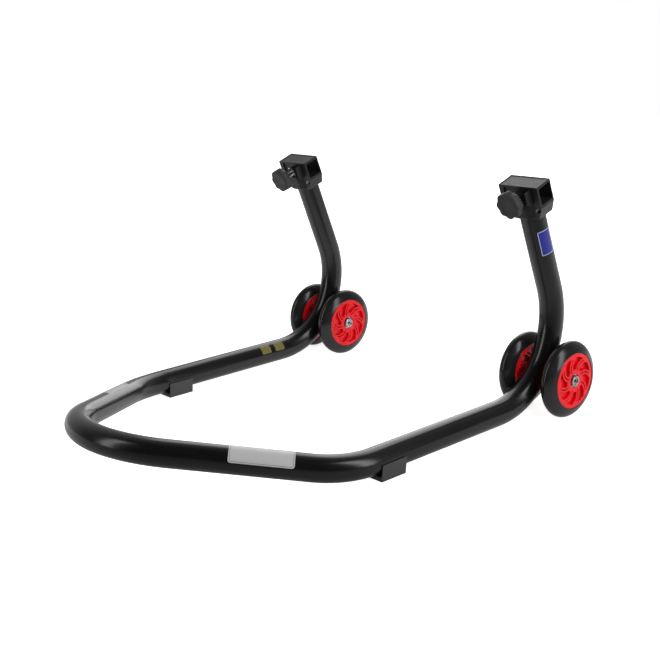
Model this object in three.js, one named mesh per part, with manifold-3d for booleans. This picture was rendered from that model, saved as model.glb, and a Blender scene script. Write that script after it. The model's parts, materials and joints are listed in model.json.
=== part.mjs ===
// Motorcycle rear paddock stand: a bent steel tube frame on four wheels, with a socket head on each upright.
//
// Millimetres, +Z up, floor at z = 0. X = 0 is the plane of symmetry and +X is the stand's right-hand side.
// The V-shaped lever handle points along -Y and the wheels are at the +Y end.
// While the stand is being built, y = 0 is on the wheel axles; the finished group is then moved along Y so
// that its origin lies on the floor under the middle of its overall length.

import * as THREE from "three";
import { mergeVertices } from "three/addons/utils/BufferGeometryUtils.js";
import Module from "manifold-3d";

const wasm = await Module();
wasm.setup();

// ---------------------------------------------------------------- driving dimensions

const TUBE_RADIUS = 16;
const TUBE_WALL = 2;
const HALF_TRACK = 212.5; // centre plane to the centreline of each leg
const LEG_HEIGHT = 21.3; // centreline of the level legs above the floor
const LEG_BEND_RADIUS = 108;
const HANDLE_BEND_RADIUS = 110;
const NOSE_BEND_RADIUS = 115;
const UPRIGHT_LEAN = THREE.MathUtils.degToRad(20.2); // uprights lean back towards the handle
const UPRIGHT_CORNER_Y = 55.6; // where the centrelines of a leg and its upright would meet
const HANDLE_CORNER_Y = -352.8; // where a leg turns into its half of the handle
const NOSE_CORNER = new THREE.Vector3(0, -613.2, 74.9);
const HEAD_ALONG_UPRIGHT = 290.1; // from the leg-upright corner to the middle of a head

const WHEEL_RADIUS = 50;
const WHEEL_OFFSET = 33.7; // wheel mid-plane to leg centreline
const CORE_RADIUS = 36.9;
const CORE_HALF_WIDTH = 11.4; // hub, spokes and rim are flush with each other
const CORE_EDGE_RADIUS = 34.4; // the rim's faces slope back from here to the tyre
const CORE_EDGE_HALF_WIDTH = 11.1;
const TYRE_EDGE_HALF_WIDTH = 11.6;
const TYRE_WIDEST = 13.45; // half width of the ellipse that the tread is an arc of
const TYRE_ARC_RISE = 26.16; // the same ellipse's other half axis
const NEAR_HUB_HALF_WIDTH = 12; // the hub stands out a little on the side facing the leg
const HUB_RADIUS = 14.5;
const RIM_INNER_RADIUS = 31;
const SPOKES = 8;
const SPOKE_WIDTH = 7.8;
const SPOKE_GROOVE_WIDTH = 1.9; // each spoke is split by a groove into two ribs
const WEB_HALF_THICKNESS = 7;
const GROOVE_FLOOR = 8.5;
const WHEEL_SEGMENTS = 24; // shared by the core and the tyre, so that their facets line up

const BEARING_RADIUS = 11; // 608 size: 8 x 22 x 7
const BEARING_WIDTH = 7;
const BEARING_SPLIT_RADIUS = 6.35; // between the inner ring and the shielded outer ring
const AXLE_RADIUS = 3.95;
const AXLE_HEAD_RADIUS = 7.2;
const SLEEVE_RADIUS = 8;
const WASHER_THICKNESS = 1;

const FOOT_SOLE_HALF_WIDTH = 15.2;
const FOOT_TOP_HALF_WIDTH = 17.7; // its sides spread towards their tops
const FOOT_HEIGHT = 21;
const FOOT_FLOOR = 5; // thickness of rubber under the tube
const FOOT_LENGTH = 38;
const FOOT_CENTRE_Y = -294.8;

const HEAD_HALF_WIDTH = 29.2;
const HEAD_FRONT = -15.3;
const HEAD_REAR = 11.3;
const HEAD_HALF_HEIGHT = 14.2;
const HEAD_SKIRT = 14.8; // tapered block under the box
const SOCKET_SIZE = 21.5; // square socket for a 20 mm adapter bar
const SOCKET_FRONT = -12.05;
const SOCKET_CENTRE_Z = 0.1;
const STUD_RADIUS = 3.95; // M8
const STUD_Z = -1;
const KNOB_RADIUS = 16.9;
const KNOB_LOBES = 8;
const KNOB_LOBE_HEIGHT = 0.8;
const KNOB_THICKNESS = 12;
const KNOB_BACK = -29;
const LEFT_KNOB_BACKED_OFF = 7; // the left knob stands this much further out than the right one

const GAP = 0.3; // between a piece and the neighbour it is cut to fit

// ---------------------------------------------------------------- materials

const FINISHES = {
  powder_coat: { color: 0x17171a, roughness: 0.38, metalness: 0.1 },
  wheel_red: { color: 0xd8121b, roughness: 0.35, metalness: 0 },
  tyre_black: { color: 0x18191b, roughness: 0.45, metalness: 0 },
  head_plastic: { color: 0x2a2a2c, roughness: 0.6, metalness: 0 },
  knob_plastic: { color: 0x333335, roughness: 0.65, metalness: 0 },
  foot_rubber: { color: 0x303133, roughness: 0.8, metalness: 0 },
  zinc: { color: 0xc9ccd0, roughness: 0.3, metalness: 0.9 },
  bearing_steel: { color: 0x9b9ea3, roughness: 0.35, metalness: 0.9 },
  brass: { color: 0xb58a3c, roughness: 0.35, metalness: 0.9 },
  pad_nylon: { color: 0xe4e0d4, roughness: 0.6, metalness: 0 },
};

function piece(name, geometry, finish) {
  const mesh = new THREE.Mesh(geometry, new THREE.MeshStandardMaterial(FINISHES[finish]));
  mesh.name = name;
  return mesh;
}

// ---------------------------------------------------------------- solids

function toSolid(geometry) {
  const bare = new THREE.BufferGeometry();
  const loose = geometry.index ? geometry.toNonIndexed() : geometry;
  bare.setAttribute("position", loose.getAttribute("position").clone());
  const merged = mergeVertices(bare, 1e-4);
  const mesh = new wasm.Mesh({
    numProp: 3,
    vertProperties: merged.getAttribute("position").array,
    triVerts: new Uint32Array(merged.index.array),
  });
  return new wasm.Manifold(mesh);
}

function toGeometry(solid) {
  const mesh = solid.getMesh();
  const geometry = new THREE.BufferGeometry();
  geometry.setAttribute("position", new THREE.BufferAttribute(Float32Array.from(mesh.vertProperties), 3));
  geometry.setIndex(new THREE.BufferAttribute(Uint32Array.from(mesh.triVerts), 1));
  return geometry;
}

/** Joins the geometries of `add`, then cuts those of `cut` away. */
function carve({ add, cut = [] }) {
  let solid = toSolid(add[0]);
  for (const geometry of add.slice(1)) solid = solid.add(toSolid(geometry));
  for (const geometry of cut) solid = solid.subtract(toSolid(geometry));
  return toGeometry(solid);
}

/** A solid of revolution about Y. The profile [radius, y] runs anticlockwise, on the axis or closed. */
function turned(profile, segments = 20) {
  const points = profile.map(([radius, y]) => new THREE.Vector2(radius, y));
  const [firstRadius] = profile[0];
  if (firstRadius > 0) points.push(points[0].clone());
  return new THREE.LatheGeometry(points, segments);
}

/** The same about X, with the profile as [radius, x]. */
function turnedAlongX(profile, segments) {
  return turned(profile, segments).rotateZ(-Math.PI / 2);
}

/** The same about Z, with the profile as [radius, z]. */
function turnedAlongZ(profile, segments) {
  return turned(profile, segments).rotateX(Math.PI / 2);
}

function rodProfile(radius, from, to) {
  return [
    [0, from],
    [radius, from],
    [radius, to],
    [0, to],
  ];
}

function ringProfile(innerRadius, outerRadius, from, to) {
  return [
    [innerRadius, from],
    [outerRadius, from],
    [outerRadius, to],
    [innerRadius, to],
  ];
}

/** A box given by its two opposite corners. */
function block([x0, y0, z0], [x1, y1, z1]) {
  const geometry = new THREE.BoxGeometry(x1 - x0, y1 - y0, z1 - z0);
  return geometry.translate((x0 + x1) / 2, (y0 + y1) / 2, (z0 + z1) / 2);
}

/** A plate drawn as its side view in y and z, between two values of x. */
function sidePlate(outline, from, to) {
  const plate = new THREE.ExtrudeGeometry(outline, { depth: to - from, bevelEnabled: false });
  // the side view's (y, z, depth) becomes (y, z, x)
  const turn = new THREE.Matrix4().makeBasis(
    new THREE.Vector3(0, 1, 0),
    new THREE.Vector3(0, 0, 1),
    new THREE.Vector3(1, 0, 0),
  );
  return plate.applyMatrix4(turn).translate(from, 0, 0);
}

function regularLoop(radius, sides) {
  const corner = (i) => (i / sides) * 2 * Math.PI;
  return Array.from({ length: sides }, (_, i) => {
    return new THREE.Vector2(radius * Math.cos(corner(i)), radius * Math.sin(corner(i)));
  });
}

// ---------------------------------------------------------------- frame tube

/** A bent tube's centreline: straights joined by tangent arcs, with stations only where it turns. */
class BentCentreline extends THREE.Curve {
  constructor(corners, bendRadii, degreesPerStep = 12) {
    super();
    this.stations = [];
    const ends = [corners[0], corners[corners.length - 1]];
    const directions = corners.slice(1).map((corner, i) => corner.clone().sub(corners[i]).normalize());
    this.stations.push({ point: ends[0], tangent: directions[0] });
    bendRadii.forEach((radius, i) => {
      this.addBend(corners[i + 1], directions[i], directions[i + 1], radius, degreesPerStep);
    });
    this.stations.push({ point: ends[1], tangent: directions[directions.length - 1] });
  }

  addBend(corner, incoming, outgoing, radius, degreesPerStep) {
    const angle = incoming.angleTo(outgoing);
    const start = corner.clone().addScaledVector(incoming, -radius * Math.tan(angle / 2));
    const axis = incoming.clone().cross(outgoing).normalize();
    const centre = start.clone().addScaledVector(axis.clone().cross(incoming), radius);
    const steps = Math.ceil(THREE.MathUtils.radToDeg(angle) / degreesPerStep);
    for (let i = 0; i <= steps; i += 1) {
      const turn = (angle * i) / steps;
      const point = start.clone().sub(centre).applyAxisAngle(axis, turn).add(centre);
      this.stations.push({ point, tangent: incoming.clone().applyAxisAngle(axis, turn) });
    }
  }

  get steps() {
    return this.stations.length - 1;
  }

  getPointAt(u) {
    return this.stations[Math.round(u * this.steps)].point.clone();
  }

  getTangentAt(u) {
    return this.stations[Math.round(u * this.steps)].tangent.clone();
  }
}

const upAlongUpright = new THREE.Vector3(0, -Math.sin(UPRIGHT_LEAN), Math.cos(UPRIGHT_LEAN));

function pointOnUpright(side, distance) {
  const corner = new THREE.Vector3(side * HALF_TRACK, UPRIGHT_CORNER_Y, LEG_HEIGHT);
  return corner.addScaledVector(upAlongUpright, distance);
}

function frameCentreline() {
  const tubeTop = HEAD_ALONG_UPRIGHT - HEAD_HALF_HEIGHT - 2 * GAP;
  const sideCorners = (side) => [
    pointOnUpright(side, tubeTop),
    new THREE.Vector3(side * HALF_TRACK, UPRIGHT_CORNER_Y, LEG_HEIGHT),
    new THREE.Vector3(side * HALF_TRACK, HANDLE_CORNER_Y, LEG_HEIGHT),
  ];
  const corners = [...sideCorners(1), NOSE_CORNER, ...sideCorners(-1).reverse()];
  const radii = [LEG_BEND_RADIUS, HANDLE_BEND_RADIUS, NOSE_BEND_RADIUS, HANDLE_BEND_RADIUS, LEG_BEND_RADIUS];
  return new BentCentreline(corners, radii);
}

function frameTube() {
  const section = new THREE.Shape(regularLoop(TUBE_RADIUS, 18));
  section.holes.push(new THREE.Path(regularLoop(TUBE_RADIUS - TUBE_WALL, 9)));
  const path = frameCentreline();
  const tube = new THREE.ExtrudeGeometry(section, { extrudePath: path, steps: path.steps });
  const cut = [];
  for (const side of [1, -1]) {
    const notch = turnedAlongX(rodProfile(SLEEVE_RADIUS + GAP, -30, 30), 24);
    cut.push(notch.translate(side * HALF_TRACK, 0, WHEEL_RADIUS));
    const screwHole = turnedAlongZ(rodProfile(FOOT_SCREW_RADIUS + GAP, 0, LEG_HEIGHT), 12);
    cut.push(screwHole.translate(side * HALF_TRACK, FOOT_CENTRE_Y, 0));
  }
  return piece("frame_tube", carve({ add: [tube], cut }), "powder_coat");
}

// ---------------------------------------------------------------- feet

const FOOT_SCREW_RADIUS = 2;

/** Countersunk screw from `bottom` upwards, grown all round by `clearance` when it is used as a hole. */
function footScrewProfile(bottom, clearance) {
  const headRadius = 4.2 + clearance;
  const shankRadius = FOOT_SCREW_RADIUS + clearance;
  const top = LEG_HEIGHT - TUBE_RADIUS + 6.5;
  return [
    [0, bottom],
    [headRadius, bottom],
    [headRadius, 0.8],
    [shankRadius, 3],
    [shankRadius, top],
    [0, top],
  ];
}

/** Rubber channel that the tube lies in, cut off square at both ends. */
function foot(name) {
  const wallAtTop = 1.2;
  const rightHalf = [
    [FOOT_SOLE_HALF_WIDTH, 0],
    [FOOT_TOP_HALF_WIDTH, FOOT_HEIGHT],
    [FOOT_TOP_HALF_WIDTH - wallAtTop, FOOT_HEIGHT],
    [FOOT_SOLE_HALF_WIDTH - 0.8, FOOT_FLOOR + 2.5],
    [FOOT_SOLE_HALF_WIDTH - 2.8, FOOT_FLOOR],
  ];
  const leftHalf = rightHalf.map(([x, z]) => [-x, z]).reverse();
  const section = new THREE.Shape([...rightHalf, ...leftHalf].map(([x, z]) => new THREE.Vector2(x, z)));
  const channel = new THREE.ExtrudeGeometry(section, { depth: FOOT_LENGTH, bevelEnabled: false });
  channel.rotateX(Math.PI / 2).translate(0, FOOT_LENGTH / 2, 0);
  const screwHole = turnedAlongZ(footScrewProfile(-1, GAP), 16);
  return piece(name, carve({ add: [channel], cut: [screwHole] }), "foot_rubber");
}

function footAssembly(sideName, side) {
  const group = new THREE.Group();
  group.position.set(side * HALF_TRACK, FOOT_CENTRE_Y, 0);
  group.add(foot(`${sideName}_foot`));
  group.add(piece(`${sideName}_foot_screw`, turnedAlongZ(footScrewProfile(0.5, 0), 12), "zinc"));
  return group;
}

// ---------------------------------------------------------------- wheels

// In a wheel's own frame x = 0 is its mid-plane and +X points away from the leg it is bolted beside.
const FAR_BEARING_FACE = 10.45;
const NEAR_BEARING_FACE = -11.5;
const BORE_RADIUS = BEARING_RADIUS + 0.15;
const NEAR_HUB_RADIUS = 13;
const POCKET_TIP_RADIUS = 15.5;
const LIP_RADIUS = 8.8; // the hub's outer face keeps a lip that the far bearing butts against

/** How far a spoke has swept round at `radius`, from its root at the hub. */
function spokeSweep(radius) {
  const startLean = THREE.MathUtils.degToRad(4);
  const furtherSweep = THREE.MathUtils.degToRad(20);
  const rise = Math.max(0, radius - HUB_RADIUS) / (RIM_INNER_RADIUS - HUB_RADIUS);
  return startLean * rise + furtherSweep * rise ** 1.7;
}

/** Angle taken up at `radius` by half of a strip of `width` that runs along a spoke. */
function halfStripAngle(radius, width) {
  const step = 0.1;
  const slope = (radius * (spokeSweep(radius + step) - spokeSweep(radius))) / step;
  return (width / 2 / radius) * Math.hypot(1, slope);
}

/** Side view (y, z) of a band that follows the spokes; its two edges are given as angles at a radius. */
function sweptBand(innerRadius, outerRadius, firstEdge, secondEdge) {
  const steps = 2;
  const radii = Array.from({ length: steps + 1 }, (_, i) => {
    return THREE.MathUtils.lerp(innerRadius, outerRadius, i / steps);
  });
  const corner = (radius, angle) => new THREE.Vector2(radius * Math.sin(angle), radius * Math.cos(angle));
  const outward = radii.map((radius) => corner(radius, firstEdge(radius)));
  const inward = radii.reverse().map((radius) => corner(radius, secondEdge(radius)));
  return new THREE.Shape([...outward, ...inward]);
}

/** The pockets between spokes and the grooves along them, cut into both faces of a core. */
function corePockets(spokeAngle) {
  const pitch = (2 * Math.PI) / SPOKES;
  const past = CORE_HALF_WIDTH + 1;
  const cuts = [];
  for (let i = 0; i < SPOKES; i += 1) {
    const spoke = (radius) => spokeAngle + i * pitch + spokeSweep(radius);
    const halfSpoke = (radius) => halfStripAngle(radius, SPOKE_WIDTH);
    const halfGroove = (radius) => halfStripAngle(radius, SPOKE_GROOVE_WIDTH);
    const pocket = sweptBand(
      POCKET_TIP_RADIUS,
      RIM_INNER_RADIUS,
      (radius) => spoke(radius) + halfSpoke(radius),
      (radius) => spoke(radius) + pitch - halfSpoke(radius),
    );
    const groove = sweptBand(
      HUB_RADIUS - 1,
      RIM_INNER_RADIUS - 2,
      (radius) => spoke(radius) - halfGroove(radius),
      (radius) => spoke(radius) + halfGroove(radius),
    );
    cuts.push(sidePlate(pocket, WEB_HALF_THICKNESS, past), sidePlate(pocket, -past, -WEB_HALF_THICKNESS));
    cuts.push(sidePlate(groove, GROOVE_FLOOR, past), sidePlate(groove, -past, -GROOVE_FLOOR));
  }
  return cuts;
}

function wheelCore(name, spokeAngle) {
  const profile = [
    [BORE_RADIUS, -NEAR_HUB_HALF_WIDTH],
    [NEAR_HUB_RADIUS, -NEAR_HUB_HALF_WIDTH],
    [NEAR_HUB_RADIUS, -CORE_HALF_WIDTH],
    [CORE_EDGE_RADIUS, -CORE_HALF_WIDTH],
    [CORE_RADIUS, -CORE_EDGE_HALF_WIDTH],
    [CORE_RADIUS, CORE_EDGE_HALF_WIDTH],
    [CORE_EDGE_RADIUS, CORE_HALF_WIDTH],
    [LIP_RADIUS, CORE_HALF_WIDTH],
    [LIP_RADIUS, FAR_BEARING_FACE + 0.1],
    [BORE_RADIUS, FAR_BEARING_FACE + 0.1],
  ];
  const disc = turnedAlongX(profile, WHEEL_SEGMENTS);
  return piece(name, carve({ add: [disc], cut: corePockets(spokeAngle) }), "wheel_red");
}

function tyre(name) {
  const seat = CORE_RADIUS + 0.1;
  const arcCentre = WHEEL_RADIUS - TYRE_ARC_RISE;
  const edgeAngle = Math.acos(TYRE_EDGE_HALF_WIDTH / TYRE_WIDEST);
  const steps = 5;
  const profile = [];
  for (let i = 0; i <= steps; i += 1) {
    const angle = edgeAngle + ((Math.PI - 2 * edgeAngle) * i) / steps;
    profile.push([arcCentre + TYRE_ARC_RISE * Math.sin(angle), -TYRE_WIDEST * Math.cos(angle)]);
  }
  profile.push([seat, TYRE_EDGE_HALF_WIDTH - 0.2]);
  profile.push([seat, -TYRE_EDGE_HALF_WIDTH + 0.2]);
  return piece(name, turnedAlongX(profile, WHEEL_SEGMENTS), "tyre_black");
}

/** A shielded ball bearing with its far face at x = `face`: the shields count as part of the outer ring. */
function bearing(name, face) {
  const group = new THREE.Group();
  const back = face - BEARING_WIDTH;
  const outerRing = ringProfile(BEARING_SPLIT_RADIUS + GAP / 2, BEARING_RADIUS, back, face);
  const innerRing = ringProfile(AXLE_RADIUS + 0.2, BEARING_SPLIT_RADIUS - GAP / 2, back, face);
  group.add(
    piece(`${name}_outer_ring`, turnedAlongX(outerRing, 16), "bearing_steel"),
    piece(`${name}_inner_ring`, turnedAlongX(innerRing, 12), "bearing_steel"),
  );
  return group;
}

/**
 * Everything that sits on the axle at one wheel. `outward` is +1 or -1, the way the wheel faces along X, and
 * `spokeDegrees` is how far the wheel has rolled round.
 */
function wheel(place, legX, outward, spokeDegrees) {
  const group = new THREE.Group();
  group.position.set(legX + outward * WHEEL_OFFSET, 0, WHEEL_RADIUS);
  group.rotation.z = outward > 0 ? 0 : Math.PI;
  const spacer = ringProfile(
    AXLE_RADIUS + 0.2,
    BEARING_SPLIT_RADIUS - 0.35,
    NEAR_BEARING_FACE + BEARING_WIDTH + 0.05,
    FAR_BEARING_FACE - BEARING_WIDTH - 0.05,
  );
  const washer = ringProfile(
    AXLE_RADIUS + 0.2,
    BEARING_SPLIT_RADIUS - 0.15,
    NEAR_BEARING_FACE - 0.1 - WASHER_THICKNESS,
    NEAR_BEARING_FACE - 0.1,
  );
  group.add(
    wheelCore(`${place}_wheel_core`, THREE.MathUtils.degToRad(spokeDegrees)),
    tyre(`${place}_wheel_tyre`),
    bearing(`${place}_wheel_far_bearing`, FAR_BEARING_FACE),
    bearing(`${place}_wheel_near_bearing`, NEAR_BEARING_FACE + BEARING_WIDTH),
    piece(`${place}_wheel_spacer`, turnedAlongX(spacer, 12), "zinc"),
    piece(`${place}_wheel_washer`, turnedAlongX(washer, 12), "zinc"),
  );
  return group;
}

// ---------------------------------------------------------------- axles

const AXLE_HEAD_SEAT = WHEEL_OFFSET + FAR_BEARING_FACE + 0.05;

/** Low round head with a recess for a key; it ends the profile of an axle barrel or screw. */
function axleHeadProfile() {
  return [
    [AXLE_RADIUS + 2, AXLE_HEAD_SEAT],
    [AXLE_RADIUS + 2, AXLE_HEAD_SEAT + 0.4],
    [AXLE_HEAD_RADIUS, AXLE_HEAD_SEAT + 0.4],
    [AXLE_HEAD_RADIUS, AXLE_HEAD_SEAT + 2.2],
    [AXLE_HEAD_RADIUS - 0.8, AXLE_HEAD_SEAT + 3],
    [4.4, AXLE_HEAD_SEAT + 3],
    [4.4, AXLE_HEAD_SEAT + 1.6],
    [0, AXLE_HEAD_SEAT + 1.6],
  ];
}

/** Barrel and screw that clamp both wheels of one leg through its welded sleeve. */
function axle(sideName, side) {
  const group = new THREE.Group();
  group.position.set(side * HALF_TRACK, 0, WHEEL_RADIUS);
  const threadRadius = 2.9;
  const threadDepth = 20;
  const barrelEnd = -AXLE_HEAD_SEAT + 0.5;
  const barrel = [
    [0, barrelEnd + threadDepth],
    [threadRadius + 0.2, barrelEnd + threadDepth],
    [threadRadius + 0.2, barrelEnd],
    [AXLE_RADIUS, barrelEnd],
    [AXLE_RADIUS, AXLE_HEAD_SEAT],
    ...axleHeadProfile(),
  ];
  const screw = [
    [0, AXLE_HEAD_SEAT - threadDepth + 2],
    [threadRadius, AXLE_HEAD_SEAT - threadDepth + 2],
    [threadRadius, AXLE_HEAD_SEAT],
    ...axleHeadProfile(),
  ];
  const sleeveHalf = WHEEL_OFFSET + NEAR_BEARING_FACE - WASHER_THICKNESS - 0.2;
  const sleeve = ringProfile(AXLE_RADIUS + 0.25, SLEEVE_RADIUS, -sleeveHalf, sleeveHalf);
  group.add(
    piece(`${sideName}_axle_barrel`, turnedAlongX(barrel, 12), "zinc"),
    piece(`${sideName}_axle_screw`, turnedAlongX(screw, 12).rotateZ(Math.PI), "zinc"),
    piece(`${sideName}_axle_sleeve`, turnedAlongX(sleeve, 20), "powder_coat"),
  );
  return group;
}

// ---------------------------------------------------------------- heads

// In a head's own frame the upright's axis is Z, +Y is towards the wheels and z = 0 is mid-socket.
const COLLAR_FRONT = -21.5;
const COLLAR_REAR = 20;
const COLLAR_HALF_WIDTH = 20;
const COLLAR_TOP = -6.5;
const COLLAR_BOTTOM = -28;
const BOSS_FRONT = -20;
const STUD_TIP = -8.5;
const INSERT_RADIUS = 5.5;

/** Front outline of the head's end blocks: a box whose sides draw in below it. */
function headBlock() {
  const skirtBottom = -HEAD_HALF_HEIGHT - HEAD_SKIRT;
  const skirtHalfWidth = HEAD_HALF_WIDTH - 6.2;
  const outline = new THREE.Shape([
    new THREE.Vector2(-HEAD_HALF_WIDTH, HEAD_HALF_HEIGHT),
    new THREE.Vector2(-HEAD_HALF_WIDTH, -HEAD_HALF_HEIGHT),
    new THREE.Vector2(-skirtHalfWidth, skirtBottom),
    new THREE.Vector2(skirtHalfWidth, skirtBottom),
    new THREE.Vector2(HEAD_HALF_WIDTH, -HEAD_HALF_HEIGHT),
    new THREE.Vector2(HEAD_HALF_WIDTH, HEAD_HALF_HEIGHT),
  ]);
  const prism = new THREE.ExtrudeGeometry(outline, { depth: HEAD_REAR - HEAD_FRONT, bevelEnabled: false });
  return prism.rotateX(Math.PI / 2).translate(0, HEAD_REAR, 0);
}

/** Collar around the top of the upright, a square with well-rounded corners in plan. */
function headCollar() {
  const corner = 14;
  const [left, right, front, rear] = [-COLLAR_HALF_WIDTH, COLLAR_HALF_WIDTH, COLLAR_FRONT, COLLAR_REAR];
  const plan = new THREE.Shape();
  plan.absarc(right - corner, rear - corner, corner, 0, Math.PI / 2, false);
  plan.absarc(left + corner, rear - corner, corner, Math.PI / 2, Math.PI, false);
  plan.absarc(left + corner, front + corner, corner, Math.PI, 1.5 * Math.PI, false);
  plan.absarc(right - corner, front + corner, corner, 1.5 * Math.PI, 2 * Math.PI, false);
  const settings = { depth: COLLAR_TOP - COLLAR_BOTTOM, bevelEnabled: false, curveSegments: 4 };
  return new THREE.ExtrudeGeometry(plan, settings).translate(0, 0, COLLAR_BOTTOM);
}

/** Rib beside the clamp knob. */
function headRib() {
  const RIB_OUTER_X = 19.2;
  const RIB_THICKNESS = 3.5;
  const side = new THREE.Shape([
    new THREE.Vector2(-13, 11),
    new THREE.Vector2(-24, 9.3),
    new THREE.Vector2(-24, -4.5),
    new THREE.Vector2(-20.5, -9),
    new THREE.Vector2(-13, -9),
  ]);
  return sidePlate(side, RIB_OUTER_X - RIB_THICKNESS, RIB_OUTER_X);
}

/** Places a rod or screw built along Y on the slanting line of the collar screw. */
function alongCollarScrew(geometry) {
  const axisX = 24.5;
  const axisZ = -17.2;
  const slant = Math.atan2(axisX, -HEAD_FRONT);
  return geometry.rotateZ(slant).translate(axisX, HEAD_FRONT, axisZ);
}

const COLLAR_SCREW_RADIUS = 2.4;
const COLLAR_SCREW_LENGTH = 12;

function headBody(name) {
  const halfSocket = SOCKET_SIZE / 2;
  const socketRear = SOCKET_FRONT + SOCKET_SIZE;
  const past = HEAD_HALF_WIDTH + 1;
  const boss = turned(rodProfile(8.5, BOSS_FRONT, SOCKET_FRONT), 24).translate(0, 0, STUD_Z);
  const insertHole = turned(rodProfile(INSERT_RADIUS + 0.1, BOSS_FRONT - 1, SOCKET_FRONT + 1), 20);
  const tubeBore = turnedAlongZ(rodProfile(TUBE_RADIUS + GAP, COLLAR_BOTTOM - 5, -HEAD_HALF_HEIGHT), 32);
  const recess = block([-21.7, HEAD_FRONT - 1, COLLAR_TOP], [21.7, -13.2, 11.5]);
  const window = block([-15.7, HEAD_FRONT - 1, COLLAR_TOP], [15.7, SOCKET_FRONT + 1, 3]);
  const socket = block(
    [-past, SOCKET_FRONT, SOCKET_CENTRE_Z - halfSocket],
    [past, socketRear, SOCKET_CENTRE_Z + halfSocket],
  );
  const topPanel = block(
    [-HEAD_HALF_WIDTH + 2, HEAD_FRONT + 2, HEAD_HALF_HEIGHT - 0.6],
    [HEAD_HALF_WIDTH - 2, HEAD_REAR - 2, HEAD_HALF_HEIGHT + 1],
  );
  const screwHole = alongCollarScrew(turned(rodProfile(COLLAR_SCREW_RADIUS + 0.1, -6, 14), 14));
  const shell = carve({ add: [headBlock()], cut: [recess, window, topPanel] });
  const geometry = carve({
    add: [shell, headCollar(), headRib(), boss],
    cut: [socket, tubeBore, screwHole, insertHole.translate(0, 0, STUD_Z)],
  });
  return piece(name, geometry, "head_plastic");
}

/** Lobed hand knob with a blind hole in its back for the stud. */
function clampKnob(name) {
  const bevel = 1.5;
  const outline = Array.from({ length: KNOB_LOBES * 5 }, (_, i) => {
    const angle = (i / (KNOB_LOBES * 5)) * 2 * Math.PI;
    const radius = KNOB_RADIUS - bevel + KNOB_LOBE_HEIGHT * Math.cos(KNOB_LOBES * angle);
    return new THREE.Vector2(radius * Math.cos(angle), radius * Math.sin(angle));
  });
  const settings = {
    depth: KNOB_THICKNESS - 2 * bevel,
    bevelThickness: bevel,
    bevelSize: bevel,
    bevelSegments: 1,
  };
  const grip = new THREE.ExtrudeGeometry(new THREE.Shape(outline), settings);
  grip.translate(0, 0, bevel).rotateX(Math.PI / 2).translate(0, KNOB_BACK, STUD_Z);
  const hole = turned(rodProfile(STUD_RADIUS + GAP, KNOB_BACK - 8.3, KNOB_BACK + 1), 18);
  return piece(name, carve({ add: [grip], cut: [hole.translate(0, 0, STUD_Z)] }), "knob_plastic");
}

/** Threaded stud with a flange under the knob and a small hole in its tip for the pad. */
function clampStud(name) {
  const profile = [
    [0, KNOB_BACK - 8],
    [STUD_RADIUS, KNOB_BACK - 8],
    [STUD_RADIUS, KNOB_BACK + 0.2],
    [7.5, KNOB_BACK + 0.2],
    [7.5, KNOB_BACK + 1.7],
    [STUD_RADIUS, KNOB_BACK + 1.7],
    [STUD_RADIUS, STUD_TIP - 1],
    [3, STUD_TIP],
    [1.5, STUD_TIP],
    [1.5, STUD_TIP - 3.3],
    [0, STUD_TIP - 3.3],
  ];
  return piece(name, turned(profile, 14).translate(0, 0, STUD_Z), "zinc");
}

/** Swivel pad that the stud pushes against the adapter bar. */
function clampPad(name) {
  const back = STUD_TIP + 0.2;
  const face = back + 1.8;
  const profile = [
    [0, back - 3],
    [1.2, back - 3],
    [1.2, back],
    [3.4, back],
    [3.4, face - 0.3],
    [3.1, face],
    [0, face],
  ];
  return piece(name, turned(profile, 16).translate(0, 0, STUD_Z), "pad_nylon");
}

function threadInsert(name) {
  const profile = ringProfile(STUD_RADIUS + 0.2, INSERT_RADIUS, BOSS_FRONT, SOCKET_FRONT - 0.3);
  return piece(name, turned(profile, 20).translate(0, 0, STUD_Z), "brass");
}

function collarScrew(name) {
  const profile = [
    [0, 0.5],
    [COLLAR_SCREW_RADIUS, 0.5],
    [COLLAR_SCREW_RADIUS, COLLAR_SCREW_LENGTH],
    [0, COLLAR_SCREW_LENGTH],
  ];
  const recess = turned(rodProfile(1.3, -1, 2.5), 6);
  const screw = carve({ add: [turned(profile, 14)], cut: [recess] });
  return piece(name, alongCollarScrew(screw), "zinc");
}

function head(sideName, side, knobBackedOff) {
  const group = new THREE.Group();
  group.position.copy(pointOnUpright(side, HEAD_ALONG_UPRIGHT));
  group.rotation.x = UPRIGHT_LEAN;
  const clamp = new THREE.Group();
  clamp.position.y = -knobBackedOff;
  clamp.add(
    clampKnob(`${sideName}_clamp_knob`),
    clampStud(`${sideName}_clamp_stud`),
    clampPad(`${sideName}_clamp_pad`),
  );
  group.add(
    headBody(`${sideName}_head_body`),
    threadInsert(`${sideName}_thread_insert`),
    collarScrew(`${sideName}_collar_screw`),
    clamp,
  );
  return group;
}

// ---------------------------------------------------------------- the stand

const stand = new THREE.Group();
stand.add(
  frameTube(),
  footAssembly("right", 1),
  footAssembly("left", -1),
  axle("right", 1),
  axle("left", -1),
  wheel("right_outer", HALF_TRACK, 1, 18),
  wheel("right_inner", HALF_TRACK, -1, 4),
  wheel("left_inner", -HALF_TRACK, 1, 32),
  wheel("left_outer", -HALF_TRACK, -1, 25),
  head("right", 1, 0),
  head("left", -1, LEFT_KNOB_BACKED_OFF),
);

const middle = new THREE.Box3().setFromObject(stand, true).getCenter(new THREE.Vector3());
stand.position.y = -middle.y;

export default stand;
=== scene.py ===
"""Looks of a motorcycle rear paddock stand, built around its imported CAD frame. Metres, +Z up."""

import json
import math

import bmesh
import bpy
from mathutils import Matrix, Vector


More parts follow.
